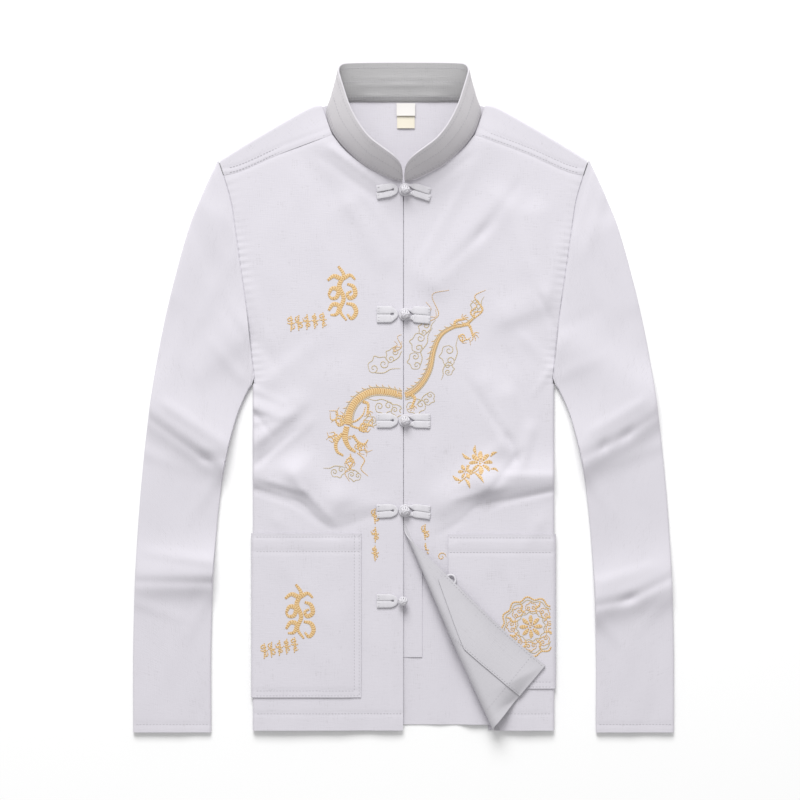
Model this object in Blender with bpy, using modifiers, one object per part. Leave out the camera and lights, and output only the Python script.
"""A tang suit jacket of pale grey cloth, laid flat on its back.

The jacket is cut as a back, two fronts, two sleeves and a standing collar. Two patch pockets lie
on the fronts, a narrow under flap backs the front opening, and five pairs of straight knot
buttons close it. The lowest corner of the wearer's left front is turned over, so that its facing
shows. The sides of the body are folded under, which leaves the outline narrower than the chest.

Left and right are the wearer's. X runs across the jacket, with the wearer's right at -X, Y runs
up to the collar, and Z is the height above the surface that the jacket lies on.
"""

import math
from collections import namedtuple

import bmesh
import bpy
import numpy as np

# All sizes below are in millimetres.
MM = 0.001
CLOTH = 1.2
COLLAR_WALL = 2.0
THIN_WALL = 1.0
SEAM_GAP = 0.3
LAY_GAP = 0.5
POCKET_GAP = 0.7
POCKET_TURN_GAP = 1.0

# The body as it lies: the plan of its side edges and hems.
SIDE_X = 166.8
BACK_SIDE_X = 164.6
FRONT_HEM_Y = -375.0
BACK_HEM_Y = -368.5
CENTRE_GAP = 0.5

# The middles of the layers, from the surface up, in the middle of the body and over the tucks.
FLOOR_LAYER = CLOTH / 2
TUCKED_BACK = 2.2
BACK_OVER_TUCK = 4.4
TOP_LAYER = 4.8
SIDE_LIFT = 1.4
SIDE_LIFT_START_X = 50.0
SIDE_LIFT_RUN = 24.0
SIDE_LIFT_TOP_Y = 56.0
SIDE_LIFT_FADE = 40.0
BACK_STEP = 20.0
BACK_CLEAR = 14.0
BACK_RISE_TOP_Y = 40.0
BACK_RISE_FADE = 22.0

# The standing collar lifts the front round the neck.
NECK_RISE = 5.2
NECK_RISE_REACH = 26.0
NECK_RISE_TOP_Y = 335.0
NECK_RISE_FADE = 85.0

# The sides are folded under from the hem up to the underarm.
TUCK = 74.0
TUCK_AT_TOP = 10.0
TUCK_TOP_Y = 16.0
TUCK_TAPER = 120.0
FRONT_FOLD_RADIUS = 2.7
BACK_FOLD_RADIUS = 1.2

# The wearer's left front turns over along a line from the front edge down to the hem.
TURN_TOP_Y = -137.5
TURN_HEM_X = 110.5
ROLL_AT_TOP = 4.2
ROLL_AT_HEM = 7.8
FLAP_LIFT = 3.6
FLAP_SPRING = 4.0
FLAP_SPRING_FADE = 0.35
ROLL_GROWTH = 0.7
LEAST_FLAP_RUN = 30.0
FACING_WIDTH = 45.0

# The knot buttons: flat straps of folded tube, a round knot and the loop that takes it.
STRAP_END = 30.0
TURNED_STRAP_END = 13.0
TURNED_STRAP_GAP = 0.9
STRAP_WIDTH = 7.0
STRAP_THICKNESS = 2.0
STRAP_CENTRE = 3.9
STRAP_TURN_X = 12.3
STRAP_TURN_WIDTH = 5.0
STRAP_BEND_WIDTH = 6.0
HIDDEN_LEG_STEP = 3.0
LOOP_RADIUS = 5.9
LOOP_WIDTH = 2.6
LOOP_THICKNESS = 2.4
LOOP_START_ANGLE = 62.0
LEG_MIDDLE_X = 20.0
LEG_NECK_WIDTH = 5.6
LEG_NECK_THICKNESS = 2.2
LOOP_SHOULDER_X = 10.5
KNOT_X = 2.0
FREE_KNOT_X = -0.6
KNOT_RADIUS = 5.3

# The under flap and the neck labels.
UNDER_FLAP_X = (-2.0, 21.0)
UNDER_FLAP_Y = (-292.5, 222.0)
UNDER_FLAP_DROP_Y = (-205.0, -165.0)
UNDER_FLAP_LOW = 2.2
UNDER_FLAP_GAP = 0.9

# The sleeves are flattened tubes.
SLEEVE_FOLD_RADIUS = 2.4
ARMHOLE_GAP = 0.7
CUFF_Y = -377.2

SILVER_GREY = (0.70, 0.69, 0.71)
COLLAR_GREY = (0.52, 0.50, 0.51)
WHITE_TAPE = (0.85, 0.84, 0.82)
CREAM_TAPE = (0.80, 0.73, 0.55)

Point = namedtuple("Point", "x y")
CollarStation = namedtuple("CollarStation", "base_x base_y base_z top_x top_y top_z")
Fold = namedtuple("Fold", "x0 y0 x1 y1 rise0 rise1 above below")
Pocket = namedtuple("Pocket", "inner_x mouth_y bottom_y")
ButtonRow = namedtuple("ButtonRow", "y knot_drop loop_drop")
Label = namedtuple("Label", "left right top bottom height")

# Half outlines, for the side at +X. The other side mirrors them.
ARMHOLE = (
    Point(SIDE_X, TUCK_TOP_Y),
    Point(168.4, 31),
    Point(171.2, 55),
    Point(175.5, 95),
    Point(181.2, 135),
    Point(188.3, 185),
    Point(194.0, 222),
    Point(202.5, 251.5),
)
BACK_ARMHOLE_START = (Point(BACK_SIDE_X, TUCK_TOP_Y), Point(167.2, 33))
SHOULDER_TIP = Point(207.2, 265.4)
NECK_POINT = Point(92.0, 328.8)
SHOULDER_FOLD = (NECK_POINT, Point(109.0, 323.6), Point(168.5, 289.6), SHOULDER_TIP)
SHOULDER_SEAM = (Point(80.5, 297.0), Point(136.6, 276.5), Point(182.0, 256.5), Point(202.5, 251.5))
FRONT_NECK = (
    Point(CENTRE_GAP, 243.5),
    Point(16.4, 247.4),
    Point(44.9, 262.0),
    Point(66.0, 279.0),
    Point(80.5, 297.0),
)
BACK_NECK = (Point(0, 334), Point(64, 333.6), NECK_POINT)
SLEEVE_OUTER = (
    Point(230.0, 224.3),
    Point(246.9, 179.1),
    Point(270.1, 88.7),
    Point(285.9, -1.7),
    Point(296.1, -92.1),
    Point(302.3, -182.5),
    Point(305.2, -272.9),
    Point(305.2, CUFF_Y),
)
SLEEVE_INNER = (
    Point(172.6, 10.0),
    Point(187.0, -24.3),
    Point(202.0, -92.1),
    Point(211.3, -182.5),
    Point(216.4, -290),
    Point(217.0, CUFF_Y),
)
COLLAR = (
    CollarStation(1.4, 244.6, 11.1, 1.6, 250.5, 17.0),
    CollarStation(4.5, 245.0, 11.1, 3.4, 260.0, 28.0),
    CollarStation(9.0, 246.0, 11.1, 7.6, 266.8, 35.0),
    CollarStation(16.4, 248.7, 11.0, 14.0, 272.6, 38.0),
    CollarStation(30.5, 255.4, 10.8, 25.5, 281.0, 38.5),
    CollarStation(44.9, 263.6, 10.4, 37.5, 290.5, 37.5),
    CollarStation(58.5, 275.2, 9.6, 48.0, 303.5, 35.5),
    CollarStation(71.2, 288.4, 8.8, 57.0, 319.0, 33.0),
    CollarStation(80.0, 301.5, 7.8, 63.0, 333.0, 31.0),
    CollarStation(84.8, 315.0, 6.7, 67.5, 347.0, 29.0),
    CollarStation(86.4, 324.5, 4.5, 71.0, 358.5, 27.0),
    CollarStation(82.0, 331.5, 2.8, 73.0, 367.5, 24.0),
    CollarStation(74.0, 334.6, 1.9, 70.0, 373.8, 20.0),
    CollarStation(60.0, 335.2, 1.7, 60.0, 376.0, 16.5),
    CollarStation(30.0, 335.4, 1.7, 30.0, 376.8, 14.0),
    CollarStation(0.0, 335.4, 1.7, 0.0, 377.0, 13.0),
)

# The largest folds. Each is a ridge from one point to the other, with a height at each end and a
# width on each side of it. The side above is on the left hand, going from x0 to x1.
BODY_FOLDS = (
    Fold(-174, -11, -150, -16, 3.5, 2.0, 14, 8),
    Fold(-167, -52, -120, -8, 4.5, 2.5, 17, 11),
    Fold(-174, -86, -124, -93, 5.0, 4.0, 22, 13),
    Fold(-121, -86, -87, -126, 6.0, 4.0, 24, 12),
    Fold(-70, -113, -44, -116, 2.5, 1.5, 16, 12),
    Fold(46, -119, 92, -97, 3.5, 7.0, 22, 15),
    Fold(94, -96, 174, -90, 7.0, 6.0, 21, 15),
    Fold(118, 0, 128, -54, 3.0, 3.0, 10, 17),
    Fold(108, 219, 34, 132, 2.0, 3.5, 20, 26),
    Fold(150, 206, 161, 122, 2.5, 2.5, 12, 22),
    Fold(117, 91, 155, 104, 2.5, 2.5, 20, 12),
    Fold(-60, 215, -25, 158, 2.5, 1.5, 18, 14),
)
RIGHT_SLEEVE_FOLDS = (
    Fold(-292, -9, -199, -72, 6.0, 12.0, 48, 18),
    Fold(-306, -207, -213, -201, 5.0, 11.0, 32, 18),
    Fold(-230, 30, -178, 74, 2.0, 4.0, 28, 16),
    Fold(-262, 120, -215, 205, 2.0, 2.5, 24, 24),
)
LEFT_SLEEVE_FOLDS = (
    Fold(197, -72, 291, -8, 12.0, 7.0, 48, 20),
    Fold(213, -232, 304, -209, 10.0, 6.5, 34, 20),
    Fold(182, 60, 285, 0, 4.0, 3.0, 24, 30),
    Fold(236, 190, 262, 110, 2.5, 2.0, 20, 24),
)
FOLD_END_FADE = 16.0

RIGHT_POCKET = Pocket(48.0, -152.5, -337.5)
LEFT_POCKET = Pocket(50.5, -153.5, -327.5)
BUTTON_ROWS = (
    ButtonRow(234.6, 3.0, 5.5),
    ButtonRow(94.4, 0.0, 1.5),
    ButtonRow(-25.4, 0.0, 0.6),
    ButtonRow(-127.0, 0.8, 2.2),
    ButtonRow(-228.8, 0.0, 0.0),
)
NECK_LABEL = Label(-7.8, 13.2, 332.6, 318.5, 3.4)
SIZE_TAB = Label(-7.2, 12.6, 332.2, 304.5, 1.9)

# How many steps each cloth is divided into.
BODY_COLUMNS = 11
NECK_COLUMNS = 5
SHOULDER_STEPS = BODY_COLUMNS - NECK_COLUMNS
ROWS_BELOW_TURN = 12
ROWS_BELOW_ARMHOLE = 19
BODY_ROWS = 31
BACK_COLUMNS = 18
BACK_NECK_COLUMNS = BACK_COLUMNS - 2 * SHOULDER_STEPS
BACK_ROWS_BELOW_ARMHOLE = 11
BACK_ROWS = 19
FOLD_STEPS = 5
FACING_STEPS = 4
FACING_ROWS = 9
SLEEVE_ROWS = 25
SLEEVE_COLUMNS = 8
POCKET_COLUMNS = 8
POCKET_ROWS = 8
COLLAR_SIDE_STEPS = 18
COLLAR_HEIGHT_STEPS = 3


def smooth(share):
    """Rises from 0 to 1 with level ends."""
    t = np.clip(share, 0.0, 1.0)
    return t * t * (3 - 2 * t)


def steps(count):
    """Evenly spaced shares from 0 to 1."""
    return np.linspace(0.0, 1.0, count + 1)


def curve_through(points, pieces=8):
    """A smooth line through the points, as a Catmull-Rom spline."""
    p = np.array(points, float)
    p = np.vstack([2 * p[0] - p[1], p, 2 * p[-1] - p[-2]])
    t = np.arange(pieces)[:, None] / pieces
    spans = []
    for a, b, c, d in zip(p[:-3], p[1:-2], p[2:-1], p[3:]):
        square = 2 * a - 5 * b + 4 * c - d
        cube = 3 * b - a - 3 * c + d
        spans.append(0.5 * (2 * b + (c - a) * t + square * t**2 + cube * t**3))
    return np.vstack([*spans, p[-2:-1]])


def spaced(line, count):
    """The points that divide a line into this many equal lengths."""
    line = np.array(line, float)
    lengths = np.concatenate([[0], np.cumsum(np.linalg.norm(np.diff(line, axis=0), axis=1))])
    at = steps(count) * lengths[-1]
    return np.stack([np.interp(at, lengths, line[:, k]) for k in range(line.shape[1])], axis=1)


def joined(first, second):
    """Two lines end to end, without the shared point twice."""
    return np.vstack([first, second[1:]])


def mirrored(points, side):
    """The points on the side at +X or -X."""
    points = np.array(points, float)
    points[..., 0] *= side
    return points


def filled(bottom, top, left, right):
    """A grid of rows between four edges, each blended with the one opposite (a Coons patch)."""
    u = steps(len(bottom) - 1)[None, :, None]
    v = steps(len(left) - 1)[:, None, None]
    between_ends = (1 - v) * bottom[None] + v * top[None]
    between_sides = (1 - u) * left[:, None] + u * right[:, None]
    low_corners = (1 - u) * bottom[0] + u * bottom[-1]
    high_corners = (1 - u) * top[0] + u * top[-1]
    return between_ends + between_sides - (1 - v) * low_corners - v * high_corners


def fold_height(x, y, folds):
    """The sum of soft ridges, each fading past its ends and on both sides."""
    height = np.zeros(np.broadcast(x, y).shape)
    for fold in folds:
        start = np.array([fold.x0, fold.y0], float)
        way = np.array([fold.x1, fold.y1]) - start
        length = np.linalg.norm(way)
        way = way / length
        along = (x - start[0]) * way[0] + (y - start[1]) * way[1]
        beside = (y - start[1]) * way[0] - (x - start[0]) * way[1]
        past = np.maximum(0.0, np.maximum(-along, along - length))
        width = np.where(beside > 0, fold.above, fold.below)
        rise = fold.rise0 + (fold.rise1 - fold.rise0) * np.clip(along / length, 0, 1)
        height += rise * np.exp(-((beside / width) ** 2) - (past / FOLD_END_FADE) ** 2)
    return height


def distance_to(x, y, line):
    """How far each point is from a line of points."""
    best = np.full(np.broadcast(x, y).shape, np.inf)
    for a, b in zip(line[:-1], line[1:]):
        way = b - a
        t = np.clip(((x - a[0]) * way[0] + (y - a[1]) * way[1]) / (way @ way), 0, 1)
        best = np.minimum(best, np.hypot(x - a[0] - t * way[0], y - a[1] - t * way[1]))
    return best


def tuck_width(y):
    """How far the folded side reaches under the body at this height up the jacket."""
    return TUCK_AT_TOP + (TUCK - TUCK_AT_TOP) * smooth((TUCK_TOP_Y - y) / TUCK_TAPER)


def neck_rise(x, y):
    """The standing collar lifts the front round the neck, most at its centre."""
    near = distance_to(np.abs(x), y, curve_through(FRONT_NECK))
    fade = smooth((NECK_RISE_TOP_Y - y) / NECK_RISE_FADE)
    return NECK_RISE * np.exp(-((near / NECK_RISE_REACH) ** 2)) * fade


def top_height(x, y):
    """The middle of the uppermost body layer above the surface."""
    across = smooth((np.abs(x) - SIDE_LIFT_START_X) / SIDE_LIFT_RUN)
    over_tuck = across * smooth((SIDE_LIFT_TOP_Y - y) / SIDE_LIFT_FADE)
    return TOP_LAYER + SIDE_LIFT * over_tuck + neck_rise(x, y) + fold_height(x, y, BODY_FOLDS)


def back_height(x, y):
    """The middle of the back, which lies on the surface and rises over the tucked sides."""
    tuck_end = SIDE_X - tuck_width(y)
    across = smooth((np.abs(x) - tuck_end + BACK_STEP + BACK_CLEAR) / BACK_STEP)
    over = across * smooth((BACK_RISE_TOP_Y - y) / BACK_RISE_FADE)
    return FLOOR_LAYER + (BACK_OVER_TUCK - FLOOR_LAYER) * over


def with_height(plan, height):
    """A grid of points in plan, with the height of each."""
    return np.concatenate([plan, height(plan[..., 0], plan[..., 1])[..., None]], axis=-1)


def side_fold(side, edge, radius, under_z, reach):
    """The fold round the side of a cloth and its tucked strip, in columns beside each edge point.

    Each row goes round a half ellipse from the edge to the tucked layer, then back inwards.
    """
    turn = steps(FOLD_STEPS) * math.pi
    rows = []
    for (x, y, z), width in zip(edge, reach):
        half_height = (z - under_z) / 2
        round_x = abs(x) + radius * np.sin(turn)
        round_z = under_z + half_height * (1 + np.cos(turn))
        strip_x = abs(x) - (width - radius) * steps(2)[1:]
        across = np.concatenate([round_x, strip_x])
        heights = np.concatenate([round_z, np.full(len(strip_x), under_z)])
        rows.append(np.stack([side * across, np.full(len(across), y), heights], axis=1))
    return np.array(rows)


def roll_radius(down):
    """The radius of the turned corner's roll, for a share of the way down its line."""
    return ROLL_AT_TOP + (ROLL_AT_HEM - ROLL_AT_TOP) * smooth(np.clip(down, 0, 1) / ROLL_GROWTH)


TURN_START = np.array([CENTRE_GAP, TURN_TOP_Y])
TURN_RUN = np.array([TURN_HEM_X - CENTRE_GAP, FRONT_HEM_Y - TURN_TOP_Y])
TURN_LENGTH = float(np.linalg.norm(TURN_RUN))
TURN_WAY = TURN_RUN / TURN_LENGTH
TURN_INWARD = np.array([-TURN_WAY[1], TURN_WAY[0]])


def turn_line_x(y):
    """Where the line that the corner turns over along is, at this height up the jacket."""
    return CENTRE_GAP + TURN_RUN[0] * (y - TURN_TOP_Y) / TURN_RUN[1]


def turned(x, y, out=0.0):
    """Where a point of the turned corner lies, from its place before it was turned over.

    Past the turn line the cloth goes up round a half circle and then lies back over the front. A
    positive out is on the cloth's outer face, which is underneath once it is turned.
    """
    along = (x - TURN_START[0]) * TURN_WAY[0] + (y - TURN_START[1]) * TURN_WAY[1]
    across = -(x - TURN_START[0]) * TURN_INWARD[0] - (y - TURN_START[1]) * TURN_INWARD[1]
    radius = roll_radius(along / TURN_LENGTH)
    angle = np.minimum(across / radius, math.pi)
    flat = np.maximum(across - math.pi * radius, 0.0)
    inward = flat - (radius - out) * np.sin(angle)
    base_x = TURN_START[0] + along * TURN_WAY[0]
    base_y = TURN_START[1] + along * TURN_WAY[1]
    landing_x = base_x + inward * TURN_INWARD[0]
    landing_y = base_y + inward * TURN_INWARD[1]
    low = top_height(base_x, base_y)
    springy = 1 - smooth((along / TURN_LENGTH - FLAP_SPRING_FADE) / FLAP_SPRING_FADE)
    rest = top_height(landing_x, landing_y) + FLAP_LIFT + FLAP_SPRING * springy
    slope = TURN_WAY[0] / -TURN_WAY[1]
    widest = np.minimum(along * slope, (TURN_LENGTH - along) / slope) - math.pi * radius
    down = smooth(flat / np.maximum(widest, LEAST_FLAP_RUN))
    lying = low + 2 * radius + (rest - low - 2 * radius) * down - out
    rolling = low + radius - (radius - out) * np.cos(angle)
    height = np.where(flat > 0, lying, rolling)
    return np.stack([landing_x, landing_y, height], axis=-1)


def front_edges(side):
    """The four edges of a front in plan: hem, neck with shoulder, centre and outer side."""
    outer = joined(
        spaced([(SIDE_X, FRONT_HEM_Y), (SIDE_X, TUCK_TOP_Y)], ROWS_BELOW_ARMHOLE),
        spaced(curve_through(ARMHOLE), BODY_ROWS - ROWS_BELOW_ARMHOLE),
    )
    hem_x = TURN_HEM_X if side > 0 else CENTRE_GAP
    centre = joined(
        spaced([(hem_x, FRONT_HEM_Y), (CENTRE_GAP, TURN_TOP_Y)], ROWS_BELOW_TURN),
        spaced([(CENTRE_GAP, TURN_TOP_Y), FRONT_NECK[0]], BODY_ROWS - ROWS_BELOW_TURN),
    )
    hem = spaced([centre[0], outer[0]], BODY_COLUMNS)
    shoulder = spaced(curve_through(SHOULDER_SEAM), SHOULDER_STEPS) - (0, SEAM_GAP)
    neck = spaced(curve_through(FRONT_NECK), NECK_COLUMNS)
    top = np.vstack([neck[:-1], shoulder])
    outer[-1] = top[-1]
    return hem, top, centre, outer


def front_patches(side):
    """A front's main cloth and its tucked side."""
    main = with_height(mirrored(filled(*front_edges(side)), side), top_height)
    edge = main[: ROWS_BELOW_ARMHOLE + 1, -1]
    fold = side_fold(side, edge, FRONT_FOLD_RADIUS, FLOOR_LAYER, tuck_width(edge[:, 1]))
    return [main, fold]


def turned_plan():
    """The turned corner's points before it was turned, in rows from its turn line to its edge.

    Each row has the roll first, then the bare cloth, and last the width that the facing covers.
    """
    rows = []
    for x, y in front_edges(1)[2][: ROWS_BELOW_TURN + 1]:
        roll_end = max(x - math.pi * ROLL_AT_HEM / TURN_INWARD[0], CENTRE_GAP)
        facing_edge = min(FACING_WIDTH, roll_end)
        roll = x + (roll_end - x) * steps(FOLD_STEPS)
        bare = roll_end + (facing_edge - roll_end) * steps(2)[1:]
        faced = facing_edge + (CENTRE_GAP - facing_edge) * steps(FACING_STEPS)[1:]
        across = np.concatenate([roll, bare, faced])
        rows.append(np.column_stack([across, np.full(len(across), y)]))
    return np.array(rows)


def turned_patch():
    """The corner of the left front that is turned over."""
    plan = turned_plan()
    return turned(plan[..., 0], plan[..., 1])


def facing_patch():
    """The facing on the inner face of the turned corner, made from the corner's own points."""
    plan = turned_plan()[:FACING_ROWS, -FACING_STEPS - 1 :]
    return turned(plan[..., 0], plan[..., 1], -(CLOTH / 2 + LAY_GAP + THIN_WALL / 2))


def pocket_patch(side, pocket):
    """A patch pocket, made from the points of its front and moved out, up to the side fold."""
    y = np.linspace(pocket.bottom_y, pocket.mouth_y, POCKET_ROWS + 1)
    start = np.full(len(y), pocket.inner_x)
    if side > 0:
        start = np.maximum(start, turn_line_x(y) + POCKET_TURN_GAP)
    start = start[:, None]
    x = start + (SIDE_X - start) * steps(POCKET_COLUMNS)[None]
    plan = np.stack([side * x, np.broadcast_to(y[:, None], x.shape)], axis=-1)
    out = CLOTH + POCKET_GAP
    main = with_height(plan, lambda px, py: top_height(px, py) + out)
    half_height = (main[:, -1, 2] - out - FLOOR_LAYER) / 2
    quarter = []
    for angle in steps(2)[1:] * math.pi / 2:
        point = main[:, -1].copy()
        point[:, 0] += side * (FRONT_FOLD_RADIUS + out) * math.sin(angle)
        point[:, 2] = FLOOR_LAYER + half_height + (half_height + out) * math.cos(angle)
        quarter.append(point)
    return np.concatenate([main, np.stack(quarter, axis=1)], axis=1)


def back_patches():
    """The back: its main cloth, the strips over the shoulders, and the tucked sides."""
    half_fold = spaced(curve_through(SHOULDER_FOLD), SHOULDER_STEPS)
    half_neck = spaced(curve_through(BACK_NECK), BACK_NECK_COLUMNS // 2)
    half_top = joined(half_neck, half_fold)
    top = np.vstack([mirrored(half_top, -1)[::-1], half_top[1:]])
    start = np.array(BACK_ARMHOLE_START)
    armhole = curve_through([*start, *ARMHOLE[2:], SHOULDER_TIP])
    outer = joined(
        spaced([(BACK_SIDE_X, BACK_HEM_Y), start[0]], BACK_ROWS_BELOW_ARMHOLE),
        spaced(armhole, BACK_ROWS - BACK_ROWS_BELOW_ARMHOLE),
    )
    hem = spaced([(-BACK_SIDE_X, BACK_HEM_Y), (BACK_SIDE_X, BACK_HEM_Y)], BACK_COLUMNS)
    main = with_height(filled(hem, top, mirrored(outer, -1), outer), back_height)
    patches = [main]
    for side in (-1, 1):
        edge = main[: BACK_ROWS_BELOW_ARMHOLE + 1, 0 if side < 0 else -1]
        reach = tuck_width(edge[:, 1]) - (SIDE_X - BACK_SIDE_X)
        patches.append(side_fold(side, edge, BACK_FOLD_RADIUS, TUCKED_BACK, reach))
        patches.append(shoulder_strip(side, half_fold))
    return patches


def shoulder_strip(side, fold_line):
    """The back's cloth from the fold along the shoulder to the seam in front of it."""
    seam = spaced(curve_through(SHOULDER_SEAM), SHOULDER_STEPS)
    turn = steps(4) * math.pi
    rows = []
    for folded, seam_point in zip(fold_line, seam):
        way = seam_point - folded
        way = way / np.linalg.norm(way)
        high = float(top_height(folded[0], folded[1]))
        radius = (high - FLOOR_LAYER) / 2
        round_out = folded - way * radius * np.sin(turn)[:, None]
        round_z = FLOOR_LAYER + radius * (1 - np.cos(turn))
        lying = folded + (seam_point - folded) * steps(2)[1:, None]
        lying_z = top_height(lying[:, 0], lying[:, 1])
        plan = np.vstack([round_out, lying])
        rows.append(np.column_stack([plan, np.concatenate([round_z, lying_z])]))
    return mirrored(np.array(rows), side)


def sleeve_tube(side, folds):
    """A sleeve as a flattened tube, in rings from the armhole to the cuff."""
    armhole = joined(curve_through(ARMHOLE), np.array([ARMHOLE[-1], SHOULDER_TIP], float))
    inset = (SLEEVE_FOLD_RADIUS + CLOTH / 2, 0)
    seam = spaced(armhole + (ARMHOLE_GAP + CLOTH / 2, 0), SLEEVE_COLUMNS)
    seam[0] += inset
    outer = joined(seam[-1:], np.vstack([seam[-1:], np.array(SLEEVE_OUTER) - inset]))
    inner = np.vstack([seam[:1], np.array(SLEEVE_INNER) + inset])
    left = spaced(curve_through(inner[::-1]), SLEEVE_ROWS)
    right = spaced(curve_through(outer[::-1]), SLEEVE_ROWS)
    cuff = spaced([left[0], right[0]], SLEEVE_COLUMNS)
    plan = mirrored(filled(cuff, seam, left, right), side)
    turn = steps(4)[1:-1] * math.pi
    rings = []
    for row in plan:
        high = TOP_LAYER + fold_height(row[:, 0], row[:, 1], folds)
        ring = [np.column_stack([row, high])]
        for end, neighbour, way in ((-1, -2, 1), (0, 1, -1)):
            outward = (row[end] - row[neighbour]) / np.linalg.norm(row[end] - row[neighbour])
            half_height = (high[end] - FLOOR_LAYER) / 2
            plan_points = row[end] + outward * (SLEEVE_FOLD_RADIUS * np.sin(turn))[:, None]
            heights = FLOOR_LAYER + half_height * (1 + way * np.cos(turn))
            ring.append(np.column_stack([plan_points, heights]))
            if way > 0:
                under = row[::-2]
                ring.append(np.column_stack([under, np.full(len(under), FLOOR_LAYER)]))
        rings.append(np.vstack(ring))
    return np.array(rings)


def collar_band():
    """The standing collar, from one front end round the back to the other."""
    base_and_top = spaced(curve_through(COLLAR, 4), COLLAR_SIDE_STEPS)
    rows = []
    for t in steps(COLLAR_HEIGHT_STEPS):
        base, top = base_and_top[:, :3], base_and_top[:, 3:]
        plan = base[:, :2] + (top - base)[:, :2] * t**1.25
        height = base[:, 2] + (top - base)[:, 2] * t**0.85
        half = np.column_stack([plan, height])
        rows.append(np.vstack([half, mirrored(half, -1)[-2::-1]]))
    return np.array(rows)


def under_flap_patch():
    """The narrow flap under the front opening, which hangs down where the corner is turned."""
    x = np.linspace(*UNDER_FLAP_X, 4)
    y = np.linspace(*UNDER_FLAP_Y, 24)
    under = CLOTH / 2 + UNDER_FLAP_GAP + THIN_WALL / 2

    def height(px, py):
        low_end, high_end = UNDER_FLAP_DROP_Y
        backed = smooth((py - low_end) / (high_end - low_end))
        return UNDER_FLAP_LOW + (top_height(px, py) - under - UNDER_FLAP_LOW) * backed

    return with_height(np.stack(np.meshgrid(x, y), axis=-1), height)


def label_patch(label):
    """A small tab of tape on the back, below the back neck."""
    corners = [[(label.left, label.bottom), (label.right, label.bottom)]]
    corners.append([(label.left, label.top), (label.right, label.top)])
    return with_height(np.array(corners), lambda x, y: np.full(x.shape, label.height))


def strap_heights(plan, thickness):
    """The middle of a strap that lies on the fronts."""
    return top_height(plan[:, 0], plan[:, 1]) + CLOTH / 2 + LAY_GAP + thickness / 2


def drooped(plan, row, drop):
    """A strap whose outer end lies a little lower down the jacket."""
    share = np.clip((np.abs(plan[:, 0]) - STRAP_TURN_X) / (STRAP_END - STRAP_TURN_X), 0, 1)
    return plan + np.column_stack([np.zeros(len(plan)), row.y - drop * share])


def knot_strap_path():
    """The knot's strap: out to one end and back beside itself, at the wearer's right."""
    turn = np.linspace(90, -90, 5)
    turn_x = -STRAP_TURN_X + STRAP_CENTRE * np.cos(np.radians(turn))
    turn_y = STRAP_CENTRE * np.sin(np.radians(turn))
    straight = np.array([-STRAP_END, -(STRAP_END + STRAP_TURN_X) / 2])
    leg = np.column_stack([straight, np.full(2, STRAP_CENTRE)])
    plan = np.vstack([leg, np.column_stack([turn_x, turn_y]), leg[::-1] * (1, -1)])
    half_widths = [STRAP_WIDTH, STRAP_WIDTH, STRAP_BEND_WIDTH, STRAP_TURN_WIDTH]
    widths = [*half_widths, STRAP_TURN_WIDTH, *half_widths[::-1]]
    return plan, np.array(widths), np.full(len(plan), STRAP_THICKNESS)


def loop_strap_path():
    """The loop's strap: two legs at the wearer's left, and the loop round the knot."""
    turn = np.radians(np.linspace(LOOP_START_ANGLE, 360 - LOOP_START_ANGLE, 7))
    loop = np.column_stack([KNOT_X + LOOP_RADIUS * np.cos(turn), LOOP_RADIUS * np.sin(turn)])
    leg_x = np.array([STRAP_END, LEG_MIDDLE_X, LOOP_SHOULDER_X])
    leg = np.column_stack([leg_x, np.full(3, STRAP_CENTRE)])
    plan = np.vstack([leg, loop, leg[::-1] * (1, -1)])
    leg_widths = [STRAP_WIDTH, STRAP_WIDTH, LEG_NECK_WIDTH]
    leg_thickness = [STRAP_THICKNESS, STRAP_THICKNESS, LEG_NECK_THICKNESS]
    widths = [*leg_widths, *[LOOP_WIDTH] * len(loop), *leg_widths[::-1]]
    thickness = [*leg_thickness, *[LOOP_THICKNESS] * len(loop), *leg_thickness[::-1]]
    return plan, np.array(widths), np.array(thickness)


def add_object(name, mesh, colour, roughness=0.9):
    """A new object in the jacket's collection, with its own material."""
    material = bpy.data.materials.new(name)
    material.use_nodes = True
    shader = material.node_tree.nodes["Principled BSDF"]
    shader.inputs["Base Color"].default_value = (*colour, 1.0)
    shader.inputs["Roughness"].default_value = roughness
    shader.inputs["Metallic"].default_value = 0.0
    mesh.materials.append(material)
    mesh.shade_smooth()
    mesh.set_sharp_from_angle(angle=math.radians(50))
    obj = bpy.data.objects.new(name, mesh)
    obj.parent = jacket
    collection.objects.link(obj)
    return obj


def add_cloth(name, patches, colour, wall=CLOTH, closed_rings=False):
    """One surface from grids that share their edges, with its wall added on both sides."""
    mesh = bpy.data.meshes.new(name)
    bm = bmesh.new()
    for patch in patches:
        rows = [[bm.verts.new(point * MM) for point in row] for row in patch]
        for low, high in zip(rows[:-1], rows[1:]):
            columns = len(low) if closed_rings else len(low) - 1
            for k in range(columns):
                after = (k + 1) % len(low)
                bm.faces.new((low[k], low[after], high[after], high[k]))
    bmesh.ops.remove_doubles(bm, verts=bm.verts, dist=0.01 * MM)
    bmesh.ops.recalc_face_normals(bm, faces=bm.faces)
    bm.to_mesh(mesh)
    bm.free()
    obj = add_object(name, mesh, colour)
    solidify = obj.modifiers.new("wall", "SOLIDIFY")
    solidify.thickness = wall * MM
    solidify.offset = 0.0
    return obj


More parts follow.
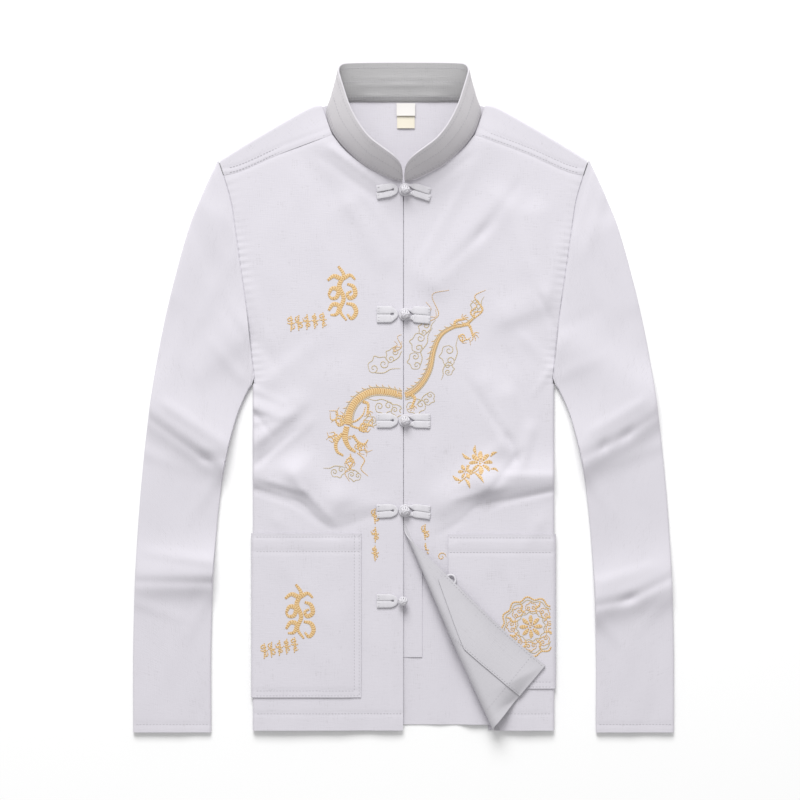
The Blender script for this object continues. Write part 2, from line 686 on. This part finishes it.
def add_strap(name, centres, widths, thickness, colour):
    """A flat tube along a path: a loft through ellipses that change from wide to round."""
    ahead = np.gradient(centres, axis=0)
    ahead /= np.linalg.norm(ahead, axis=1)[:, None]
    sideways = np.cross((0.0, 0.0, 1.0), ahead)
    sideways /= np.linalg.norm(sideways, axis=1)[:, None]
    upward = np.cross(ahead, sideways)
    mesh = bpy.data.meshes.new(name)
    bm = bmesh.new()
    rings = []
    for centre, side, up, width, thick in zip(centres, sideways, upward, widths, thickness):
        ring = []
        for angle in np.radians(np.arange(0, 360, 45) + 22.5):
            point = centre + side * (width / 2) * math.cos(angle) + up * (thick / 2) * math.sin(angle)
            ring.append(bm.verts.new(point * MM))
        rings.append(ring)
    for low, high in zip(rings[:-1], rings[1:]):
        for k in range(len(low)):
            after = (k + 1) % len(low)
            bm.faces.new((low[k], low[after], high[after], high[k]))
    bm.faces.new(rings[0][::-1])
    bm.faces.new(rings[-1])
    bmesh.ops.recalc_face_normals(bm, faces=bm.faces)
    bm.to_mesh(mesh)
    bm.free()
    return add_object(name, mesh, colour)


def add_knot(name, centre, colour):
    """The round knot of a button."""
    mesh = bpy.data.meshes.new(name)
    bm = bmesh.new()
    bmesh.ops.create_uvsphere(bm, u_segments=10, v_segments=7, radius=KNOT_RADIUS * MM)
    bm.to_mesh(mesh)
    bm.free()
    knot = add_object(name, mesh, colour)
    knot.location = np.array(centre) * MM
    return knot


def add_button(number, row, turned_over):
    """One pair of knot and loop, each strap laid on its front."""
    plan, widths, thickness = knot_strap_path()
    plan = drooped(plan, row, row.knot_drop)
    centres = np.column_stack([plan, strap_heights(plan, thickness)])
    add_strap(f"knot_strap_{number}", centres, widths, thickness, SILVER_GREY)
    plan, widths, thickness = loop_strap_path()
    plan = drooped(plan, row, row.loop_drop)
    if turned_over:
        plan[:, 0] = np.minimum(plan[:, 0], TURNED_STRAP_END)
        plan[[0, -1], 0] += HIDDEN_LEG_STEP
        centres = turned(plan[:, 0], plan[:, 1], CLOTH / 2 + TURNED_STRAP_GAP + STRAP_THICKNESS / 2)
    else:
        centres = np.column_stack([plan, strap_heights(plan, thickness)])
    add_strap(f"loop_strap_{number}", centres, widths, thickness, SILVER_GREY)
    knot_x = FREE_KNOT_X if turned_over else KNOT_X
    knot_z = top_height(knot_x, row.y) + CLOTH / 2 + LAY_GAP + KNOT_RADIUS
    add_knot(f"knot_{number}", (knot_x, row.y, float(knot_z)), SILVER_GREY)


for old in list(bpy.data.objects):
    bpy.data.objects.remove(old, do_unlink=True)

collection = bpy.data.collections.new("tang_suit_jacket")
bpy.context.scene.collection.children.link(collection)
jacket = bpy.data.objects.new("jacket", None)
collection.objects.link(jacket)

add_cloth("back", back_patches(), SILVER_GREY)
add_cloth("right_front", front_patches(-1), SILVER_GREY)
add_cloth("left_front", [*front_patches(1), turned_patch()], SILVER_GREY)
add_cloth("left_facing", [facing_patch()], SILVER_GREY, THIN_WALL)
add_cloth("under_flap", [under_flap_patch()], SILVER_GREY, THIN_WALL)
add_cloth("right_pocket", [pocket_patch(-1, RIGHT_POCKET)], SILVER_GREY)
add_cloth("left_pocket", [pocket_patch(1, LEFT_POCKET)], SILVER_GREY)
add_cloth("right_sleeve", [sleeve_tube(-1, RIGHT_SLEEVE_FOLDS)], SILVER_GREY, closed_rings=True)
add_cloth("left_sleeve", [sleeve_tube(1, LEFT_SLEEVE_FOLDS)], SILVER_GREY, closed_rings=True)
add_cloth("collar", [collar_band()], COLLAR_GREY, COLLAR_WALL)
add_cloth("neck_label", [label_patch(NECK_LABEL)], WHITE_TAPE, THIN_WALL)
add_cloth("size_tab", [label_patch(SIZE_TAB)], CREAM_TAPE, THIN_WALL)
for number, row in enumerate(BUTTON_ROWS, start=1):
    add_button(number, row, turned_over=row is BUTTON_ROWS[-1])
